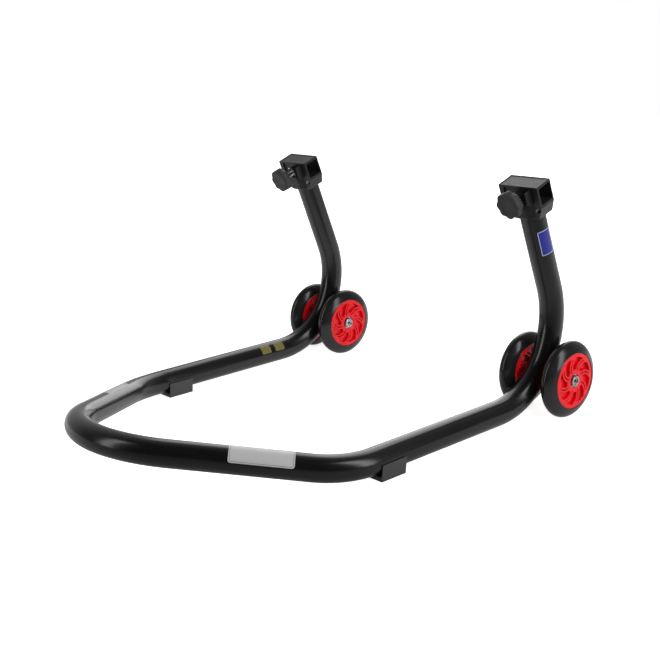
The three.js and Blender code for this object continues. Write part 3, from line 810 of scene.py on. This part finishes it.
def core_mesh():
    """Wheel core as one closed skin: bearing bore, far face, rim and near face."""
    lip = [(8.8, BEARING_SEAT), (8.8, CORE_TOP - 0.2), (9.0, CORE_TOP), (12.4, CORE_TOP)]
    rim = [(34.2, CORE_TOP), (34.6, CORE_TOP - 0.08), (CORE_RADIUS - 0.3, 11.1), (CORE_RADIUS, 10.8)]
    near_hub = [
        (13.0, -CORE_TOP),
        (12.9, 0.2 - NEAR_HUB_TOP),
        (12.6, -NEAR_HUB_TOP),
        (CORE_BORE + 0.3, -NEAR_HUB_TOP),
        (CORE_BORE, 0.3 - NEAR_HUB_TOP),
        (CORE_BORE, BEARING_SEAT),
    ]
    rows = [(r, x, None) for r, x in lip]
    rows += [(r, 1, opened) for r, *opened in core_rows()]
    rows += [(r, x, None) for r, x in rim]
    rows += [(r, -x, None) for r, x in reversed(rim)]
    rows += [(r, -1, opened) for r, *opened in reversed(core_rows())]
    rows += [(r, x, None) for r, x in near_hub]
    points = []
    for radius, x, opened in rows:
        for angle, height in core_columns(radius, *(opened or (False, False))):
            along = x * height if opened else x
            points.append((along, radius * math.sin(angle), radius * math.cos(angle)))
    faces = grid_faces(len(rows), len(points) // len(rows), True, True)
    return make_mesh("wheel_core", points, faces, WHEEL_RED, 28)


def tyre_mesh():
    """Tyre whose tread is an arc of an ellipse, with a thin lip that covers the edge of the core."""
    seat, half = 37.0, 11.6
    tread_centre, tread_rise, tread_reach = 23.84, 26.16, 13.45
    tread = [(tread_centre + tread_rise * y, -tread_reach * x) for x, y in arc((0, 0), 1, 30.2, 149.8, 40)]
    lip = [
        (36.5, half + 0.35),
        (36.0, half + 0.1),
        (35.9, half - 0.2),
        (36.1, half - 0.25),
        (seat, half - 0.6),
    ]
    profile = lip + [(r, -x) for r, x in reversed(lip)] + tread
    return turned_mesh("tyre", profile, TYRE, 128)


def outer_ring_mesh():
    """Bearing outer ring with a recessed shield in each face."""
    half = 3.5
    profile = [
        (6.5, -half + 0.75),
        (7.0, -half + 0.6),
        (9.0, -half + 0.6),
        (9.2, -half),
        (10.7, -half),
        (11.0, -half + 0.3),
        (11.0, half - 0.3),
        (10.7, half),
        (9.2, half),
        (9.0, half - 0.6),
        (7.0, half - 0.6),
        (6.5, half - 0.75),
    ]
    return turned_mesh("bearing_outer_ring", profile, BEARING_STEEL)


def bearing(wheel_place, seat, outer_ring, inner_ring):
    """One of a wheel's two bearings; its outer ring turns with the wheel."""
    wheel = f"{wheel_place}_wheel"
    for kind, ring, body in (("outer", outer_ring, wheel), ("inner", inner_ring, "stand")):
        node = f"{wheel}_{seat}_bearing_{kind}_ring"
        put(f"{wheel_place}_{seat}_{kind}_ring", ring, body, [node], at_node(node))


def wheels():
    core, tyre, outer_ring = core_mesh(), tyre_mesh(), outer_ring_mesh()
    inner_ring = turned_mesh("bearing_inner_ring", ring_profile(4.05, 6.2, -3.5, 3.5), BEARING_STEEL)
    washer = turned_mesh("speed_washer", ring_profile(4.15, 6.2, -0.5, 0.5, 0.15), ZINC)
    spacer = turned_mesh("bearing_spacer", ring_profile(4.15, 6.0, -3.8, 3.8), ZINC)
    for place_name, outward in WHEELS.items():
        wheel = f"{place_name}_wheel"
        hub = Matrix.Translation(JOINTS[f"{wheel}_spin"]["pos_m"])
        if outward < 0:
            hub = hub @ Matrix.Rotation(math.pi, 4, "Z")
        rolled = hub @ Matrix.Rotation(-math.radians(SPOKE_DEGREES[place_name]), 4, "X")
        put(f"{place_name}_core", core, wheel, [f"{wheel}_core"], rolled)
        put(f"{place_name}_tyre", tyre, wheel, [f"{wheel}_tyre"], hub)
        for seat in ("far", "near"):
            bearing(place_name, seat, outer_ring, inner_ring)
        for kind, mesh in (("spacer", spacer), ("washer", washer)):
            node = f"{wheel}_{kind}"
            put(f"{place_name}_{kind}", mesh, "stand", [node], at_node(node))


# ------------------------------------------------------------- axles


def axle_mesh(name, inner_end, shaft_radius, bore=None):
    """An axle barrel or screw along +X, ending in a low round head with a hexagon recess.

    bore is the (radius, depth) of the hole in its inner end.
    """
    seat = 44.2
    start = [(0, inner_end), (shaft_radius - 0.4, inner_end), (shaft_radius, inner_end + 0.4)]
    if bore:
        start = [
            (0, inner_end + bore[1]),
            (bore[0], inner_end + bore[1] - 1),
            (bore[0], inner_end + 0.3),
            (bore[0] + 0.3, inner_end),
            (shaft_radius - 0.2, inner_end),
            (shaft_radius, inner_end + 0.2),
        ]
    head = [
        (shaft_radius, seat),
        (6.0, seat),
        (6.0, seat + 0.4),
        (7.0, seat + 0.4),
        (7.2, seat + 0.6),
        (7.2, seat + 2.0),
        (6.9, seat + 2.6),
        (6.3, seat + 2.9),
        (5.6, seat + 3.0),
        (5.0, seat + 3.0),
        (4.6, seat + 2.7),
        (4.4, seat + 1.7),
        (0, seat + 1.7),
    ]
    solid = turned_mesh(name, start + head, ZINC, 64)
    socket = prism_mesh("socket", hexagon(2.6), seat - 2.2, seat + 4, lambda u, v, depth: (depth, u, v))
    return finish_mesh(combine(solid, [("DIFFERENCE", socket)]), ZINC)


def axles():
    barrel = axle_mesh("axle_barrel", -43.7, 3.95, (3.1, 20))
    screw = axle_mesh("axle_screw", 26.2, 2.9)
    for side_name, side in SIDES.items():
        place = Matrix.Translation((side * HALF_TRACK * MM, AXLE_Y * MM, AXLE_HEIGHT * MM))
        turned = place @ Matrix.Rotation(math.pi, 4, "Z")
        put(f"{side_name}_barrel", barrel, "stand", [f"{side_name}_axle_barrel"], place)
        put(f"{side_name}_screw", screw, "stand", [f"{side_name}_axle_screw"], turned)


# ------------------------------------------------------------- heads


def head_place(side_name):
    """The head's own frame: Z up the upright, Y towards the wheels, origin in the middle of the socket."""
    joint = JOINTS[f"{side_name}_knob_turn"]
    turn = Matrix.Rotation(LEAN, 4, "X")
    stud_start = Vector(joint["pos_m"])
    to_stud = Matrix.Translation(Vector((0, -KNOB_BACK, -STUD_HEIGHT)) * MM)
    return Matrix.Translation(stud_start) @ turn @ to_stud


def along_y(points):
    """Points turned from the X axis to the clamp's axis, which runs along Y."""
    return [(-y, x, z + STUD_HEIGHT) for x, y, z in points]


def clamp_mesh(name, profile, material, segments=64, radius_at=None):
    """A piece turned about the clamp's axis, from (radius, y) pairs."""
    points, faces = revolve(profile, segments, radius_at)
    return make_mesh(name, along_y(points), faces, material)


def rounded_plan(half_width, front, rear, corner):
    """Outline of a rectangle with rounded corners."""
    steps = 10
    centres = [
        ((half_width - corner, rear - corner), 0),
        ((-half_width + corner, rear - corner), 90),
        ((-half_width + corner, front + corner), 180),
        ((half_width - corner, front + corner), 270),
    ]
    outline = []
    for centre, start in centres:
        outline += arc(centre, corner, start, start + 90, steps)
    return outline


def collar_mesh():
    """Collar round the upright, its edges drawn in; each level is (z, inset)."""
    half_width, front, corner = 20, -21.5, 14
    levels = [(-28, 1.6), (-27.2, 0.6), (-26, 0), (-7.3, 0), (-6.7, 0.3), (-6.5, 1.0)]
    rings = []
    for z, inset in levels:
        plan = rounded_plan(half_width - inset, front + inset, half_width - inset, corner - inset)
        rings.append([(x, y, z) for x, y in plan])
    count = len(rings[0])
    points = [point for ring in rings for point in ring]
    faces = grid_faces(len(rings), count, False, True)
    faces.append(tuple(reversed(range(count))))
    faces.append(tuple(range((len(rings) - 1) * count, len(rings) * count)))
    return make_mesh("collar", points, faces, HEAD_PLASTIC)


def head_block():
    """End blocks with tapered skirts, a recessed front with a window, and a recessed top panel."""
    foot_half_width, foot_bottom, skirt_top = 23, -29, -14.2
    half_outline = [
        (foot_half_width, foot_bottom),
        (HEAD_HALF_WIDTH, skirt_top),
        (HEAD_HALF_WIDTH, HEAD_TOP),
    ]
    outline = [(-u, v) for u, v in reversed(half_outline)] + half_outline
    block = prism_mesh("block", outline, HEAD_FRONT, HEAD_REAR, lambda u, v, depth: (u, depth, v))
    cuts = [
        box_mesh("recess", (-21.7, -17, -6.5), (21.7, -13.2, 11.5)),
        box_mesh("window", (-15.7, -17, -6.5), (15.7, -11, 3)),
        box_mesh("top_panel", (-27.2, -13.3, 13.6), (27.2, 9.3, 15)),
    ]
    return block, cuts


def head_rib():
    """Upright rib beside the clamp; its outer face leans in towards the front."""
    root, lean = -13, 0.2
    outline = [(root, 11), (-24, 9.3), (-24, -4.5), (-20.5, -9), (root, -9)]
    inner_x, outer_x = 15.7, 19.4
    rib = prism_mesh("rib", outline, inner_x, outer_x, lambda u, v, depth: (depth, u, v))
    for vertex in rib.vertices:
        if vertex.co.x > (inner_x + outer_x) / 2 * MM:
            vertex.co.x += lean * (vertex.co.y - root * MM)
    return rib


def head_mesh():
    """Socket head: block, collar, rib and boss, hollowed for the bar, the upright and the screws."""
    block, cuts = head_block()
    boss = clamp_mesh("boss", rod_profile(8.5, BOSS_FRONT, SOCKET_FRONT, 0.5), HEAD_PLASTIC)
    insert_hole = rod_profile(5.6, BOSS_FRONT - 1, SOCKET_FRONT + 1.05, 0)
    hollows = [
        box_mesh("socket", (-31, SOCKET_FRONT, SOCKET_BOTTOM), (31, SOCKET_REAR, SOCKET_TOP)),
        upright_mesh("bore", rod_profile(TUBE_RADIUS + 0.3, -34, -14.2, 0), HEAD_PLASTIC, 96),
        clamp_mesh("insert_hole", insert_hole, HEAD_PLASTIC),
        collar_rod("screw_hole", 2.5, -6, 14, 0, HEAD_PLASTIC),
    ]
    steps = [("DIFFERENCE", mesh) for mesh in cuts]
    steps += [("UNION", mesh) for mesh in (collar_mesh(), head_rib(), boss)]
    steps += [("DIFFERENCE", mesh) for mesh in hollows]
    solid = combine(block, steps)
    return finish_mesh(moulded(solid, 0.3, 2), HEAD_PLASTIC, 60)


def on_collar_screw(x, y, z):
    """A point turned from the X axis to the slanting line of the collar screw."""
    entry = Vector((24.5, HEAD_FRONT, -17.2))
    turn = Matrix.Rotation(math.atan2(-entry.y, -entry.x), 3, "Z")
    return turn @ Vector((x, y, z)) + entry


def collar_rod(name, radius, start, end, chamfer, material):
    """A rod along the line of the collar screw."""
    points, faces = revolve(rod_profile(radius, start, end, chamfer), 32)
    return make_mesh(name, [on_collar_screw(*point) for point in points], faces, material)


def collar_screw_mesh():
    """Grub screw with a hexagon recess."""
    screw = collar_rod("collar_screw", 2.4, 2.6, 12, 0.4, ZINC)
    recess = prism_mesh("recess", hexagon(1.35), 0, 4, lambda u, v, depth: on_collar_screw(depth, u, v))
    return finish_mesh(combine(screw, [("DIFFERENCE", recess)]), ZINC)


def knob_mesh():
    """Lobed hand knob with rounded edges, a faintly dished face and a hole in its back."""
    back, front = KNOB_BACK, KNOB_BACK - KNOB_THICKNESS
    profile = [
        (0, front + 0.6),
        (5.0, front + 0.5),
        (9.5, front + 0.15),
        (12.5, front),
        (14.0, front + 0.15),
        (15.4, front + 0.7),
        (16.3, front + 1.8),
        (KNOB_RADIUS, front + 3.6),
        (KNOB_RADIUS, back - 3.0),
        (16.4, back - 1.5),
        (15.2, back - 0.4),
        (13.4, back),
        (4.6, back),
        (4.3, back - 0.3),
        (4.3, back - 8.3),
        (0, back - 8.3),
    ]

    def lobed(radius, y, angle):
        share = min(1, max(0, radius / 8 - 1))
        return radius + share * KNOB_LOBE_HEIGHT * math.cos(KNOB_LOBES * angle)

    return clamp_mesh("clamp_knob", profile, KNOB_PLASTIC, 160, lobed)


def stud_mesh():
    """Flanged stud with a thread cut between its flange and its tip."""
    flange = KNOB_BACK + 0.2
    thread_start, thread_end = KNOB_BACK + 3.2, STUD_TIP - 1
    count = int((thread_end - thread_start) / THREAD_PITCH * 8)
    step = (thread_end - thread_start) / count
    profile = [
        (0, KNOB_BACK - 8),
        (STUD_RADIUS, KNOB_BACK - 8),
        (STUD_RADIUS, flange),
        (7.2, flange),
        (7.5, flange + 0.3),
        (7.5, flange + 1.2),
        (7.2, flange + 1.5),
        (STUD_RADIUS, flange + 1.5),
        (STUD_RADIUS, flange + 2.8),
        *((STUD_RADIUS, thread_start + step * k) for k in range(count + 1)),
        (3.1, STUD_TIP),
        (1.5, STUD_TIP),
        (1.5, STUD_TIP - 3.3),
        (0, STUD_TIP - 3.3),
    ]

    def threaded(radius, y, angle):
        if radius != STUD_RADIUS or not thread_start <= y <= thread_end:
            return radius
        phase = (y / THREAD_PITCH - angle / (2 * math.pi)) % 1
        depth = THREAD_DEPTH * (1 - abs(2 * phase - 1))
        ease = min(1, (y - thread_start) / THREAD_PITCH, (thread_end - y) / THREAD_PITCH)
        return radius - depth * max(0, ease)

    return clamp_mesh("clamp_stud", profile, ZINC, 48, threaded)


def pad_mesh():
    """Swivel pad with a pin that sits in the stud's tip."""
    back = STUD_TIP + 0.2
    profile = [
        (0, back - 3),
        (1.0, back - 3),
        (1.2, back - 2.8),
        (1.2, back),
        (3.2, back),
        (3.4, back + 0.2),
        (3.4, back + 1.4),
        (3.1, back + 1.8),
        (0, back + 1.8),
    ]
    return clamp_mesh("clamp_pad", profile, PAD_NYLON, 48)


def insert_mesh():
    """Thread insert, set back in the boss."""
    profile = ring_profile(STUD_RADIUS + 0.2, 5.5, BOSS_FRONT + 1.6, SOCKET_FRONT - 0.3, 0.25)
    return clamp_mesh("thread_insert", profile, BRASS, 48)


def heads():
    fixed = [
        ("head", head_mesh(), "head_plastic", "head_body"),
        ("insert", insert_mesh(), "brass", "thread_insert"),
        ("collar_grub", collar_screw_mesh(), "zinc", "collar_screw"),
    ]
    clamped = [
        ("knob_grip", knob_mesh(), "knob", "knob_plastic", "clamp_knob"),
        ("stud", stud_mesh(), "knob", "zinc", "clamp_stud"),
        ("swivel_pad", pad_mesh(), "pad", "pad_nylon", "clamp_pad"),
    ]
    for side in SIDES:
        place = head_place(side)
        for piece, mesh, slot, node in fixed:
            put(f"{side}_{piece}", mesh, "stand", [f"{side}_{node}"], place)
        clamp_place = Matrix.Translation(CLAMP_AXIS * clamp_offset(side)) @ place
        for piece, mesh, body, slot, node in clamped:
            put(f"{side}_{piece}", mesh, f"{side}_{body}", [f"{side}_{node}"], clamp_place)


def clamp_offset(side_name):
    """How far this side's knob stands from the right-hand one's place along the clamp axis, in metres."""
    places = {}
    for name in ("right", side_name):
        low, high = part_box(f"{name}_clamp_knob")
        places[name] = (low + high) / 2
    offset = places[side_name] - places["right"]
    offset.x = 0
    return offset.dot(CLAMP_AXIS)


# ------------------------------------------------------------- stage

FOCAL_PIXELS = 1093.5
IMAGE_PIXELS = 660
AWAY_FROM_CAMERA = (-0.7, 0.7, 0)
STAND_MIDDLE = Vector((0, 0, 0.1))
CAMERA_PLACE = (1048.3, -1098.3, 495.65)
CAMERA_TURNS = (0.853908, 0.271609, -0.035964)  # yaw, pitch and roll, in radians


def floor():
    """Plain pale floor with painted light: it emits light, lifted to white where the camera sees it so
    that shadows fade, and for mirrored and bounced light a dimmer emission and a painted shade darken it
    on the camera's side.
    """
    mesh = box_mesh("floor", (-4000, -4000, -20), (4000, 4000, 0))
    m = Nodes("floor")
    speckle = m.noise(14, 4)
    pale = m.mix(speckle, (0.86, 0.86, 0.86, 1), (0.9, 0.9, 0.9, 1))
    distance = m.add("ShaderNodeVectorMath", {0: m.position}, operation="LENGTH").outputs["Value"]
    towards = {0: m.position, 1: AWAY_FROM_CAMERA}
    behind = m.add("ShaderNodeVectorMath", towards, operation="DOT_PRODUCT").outputs["Value"]
    # painted light: for mirrored and bounced light the floor emits light, dimmer on the camera's side
    mirrored = m.ramp(behind, -0.4, 0.2, 0.0, 0.4)
    # painted light: where the camera sees it, the floor emits light, brighter further out, so that shadows
    # fade
    seen = m.ramp(distance, 0.5, 1.3, 0.82, 1.05)
    camera_ray = m.add("ShaderNodeLightPath").outputs["Is Camera Ray"]
    painted_glow = m.add("ShaderNodeMix", {0: camera_ray, 2: mirrored, 3: seen}).outputs[0]
    # painted shade: for rays that are not the camera's, the floor's colour is darker on the camera's side
    painted_shade_colour = m.mix(m.ramp(behind, -0.4, 0.2), (0.2, 0.2, 0.2, 1), (0.7, 0.7, 0.7, 1))
    color = m.mix(camera_ray, painted_shade_colour, pale)
    m.set(Base_Color=color, Roughness=0.9, Normal=m.bump(m.noise(120, 3), 0.02))
    m.set(Emission_Color=(1, 1, 1, 1), Emission_Strength=painted_glow)
    mesh.materials.append(m.material)
    obj = add_object("floor", mesh)


def camera():
    """The photo's camera, solved from the wheels, the axles and the legs."""
    data = bpy.data.cameras.new("camera")
    data.sensor_width = 36
    data.lens = FOCAL_PIXELS * data.sensor_width / IMAGE_PIXELS
    yaw, pitch, roll = CAMERA_TURNS
    forward = Vector((-math.sin(yaw) * math.cos(pitch), math.cos(yaw) * math.cos(pitch), -math.sin(pitch)))
    level = Vector((math.cos(yaw), math.sin(yaw), 0))
    upward = level.cross(forward)
    right = math.cos(roll) * level + math.sin(roll) * upward
    top = -math.sin(roll) * level + math.cos(roll) * upward
    place = Matrix((right, top, -forward)).transposed().to_4x4()
    place.translation = axle_frame_point(*CAMERA_PLACE) * MM
    obj = bpy.data.objects.new("camera", data)
    bpy.context.scene.collection.objects.link(obj)
    obj.matrix_world = place
    bpy.context.scene.camera = obj


def softbox(name, azimuth, elevation, distance, size, radiance, seen_in_gloss=True):
    """A rectangular lamp facing the stand; azimuth and elevation in degrees, size in metres."""
    data = bpy.data.lights.new(name, "AREA")
    data.shape = "RECTANGLE"
    data.size, data.size_y = size
    data.energy = radiance * math.pi * size[0] * size[1]
    obj = bpy.data.objects.new(name, data)
    bpy.context.scene.collection.objects.link(obj)
    around, above = math.radians(azimuth), math.radians(elevation)
    level = Vector((math.cos(around), math.sin(around), 0))
    outward = level * math.cos(above) + Vector((0, 0, math.sin(above)))
    aim = (-outward).to_track_quat("-Z", "Y").to_matrix().to_4x4()
    obj.matrix_world = Matrix.Translation(STAND_MIDDLE + distance * outward) @ aim
    obj.visible_camera = False
    obj.visible_glossy = seen_in_gloss


def surroundings():
    """White behind the stand; what its surfaces mirror is dim, and dark on the camera's side."""
    world = bpy.data.worlds.new("studio")
    world.use_nodes = True
    tree = world.node_tree
    direction = tree.nodes.new("ShaderNodeTexCoord").outputs["Generated"]
    away = tree.nodes.new("ShaderNodeVectorMath")
    away.operation = "DOT_PRODUCT"
    tree.links.new(direction, away.inputs[0])
    away.inputs[1].default_value = AWAY_FROM_CAMERA
    dim = tree.nodes.new("ShaderNodeMapRange")
    dim.interpolation_type = "SMOOTHSTEP"
    tree.links.new(away.outputs["Value"], dim.inputs["Value"])
    for key, value in {"From Min": -0.25, "From Max": 0.75, "To Min": 0.03, "To Max": 0.5}.items():
        dim.inputs[key].default_value = value
    strength = tree.nodes.new("ShaderNodeMix")
    strength.inputs[3].default_value = 1.0
    tree.links.new(tree.nodes.new("ShaderNodeLightPath").outputs["Is Camera Ray"], strength.inputs[0])
    tree.links.new(dim.outputs["Result"], strength.inputs[2])
    background = tree.nodes["Background"]
    background.inputs["Color"].default_value = (1, 1, 1, 1)
    tree.links.new(strength.outputs[0], background.inputs["Strength"])
    bpy.context.scene.world = world


def lights():
    softbox("right", 21, 27, 2.4, (0.6, 2.3), 5.0)
    softbox("back", 124, 30, 2.6, (1.7, 2.6), 2.1)
    softbox("left", -104, 27, 2.3, (0.5, 2.4), 4.0)
    softbox("fill", -8, 22, 2.4, (1.6, 1.6), 4.4, seen_in_gloss=False)
    softbox("overhead", 0, 89, 2.2, (3.0, 3.0), 0.45, seen_in_gloss=False)
    bpy.context.scene.view_settings.view_transform = "Standard"


frame_tube()
axle_sleeves()
labels()
feet()
wheels()
axles()
heads()
floor()
camera()
surroundings()
lights()
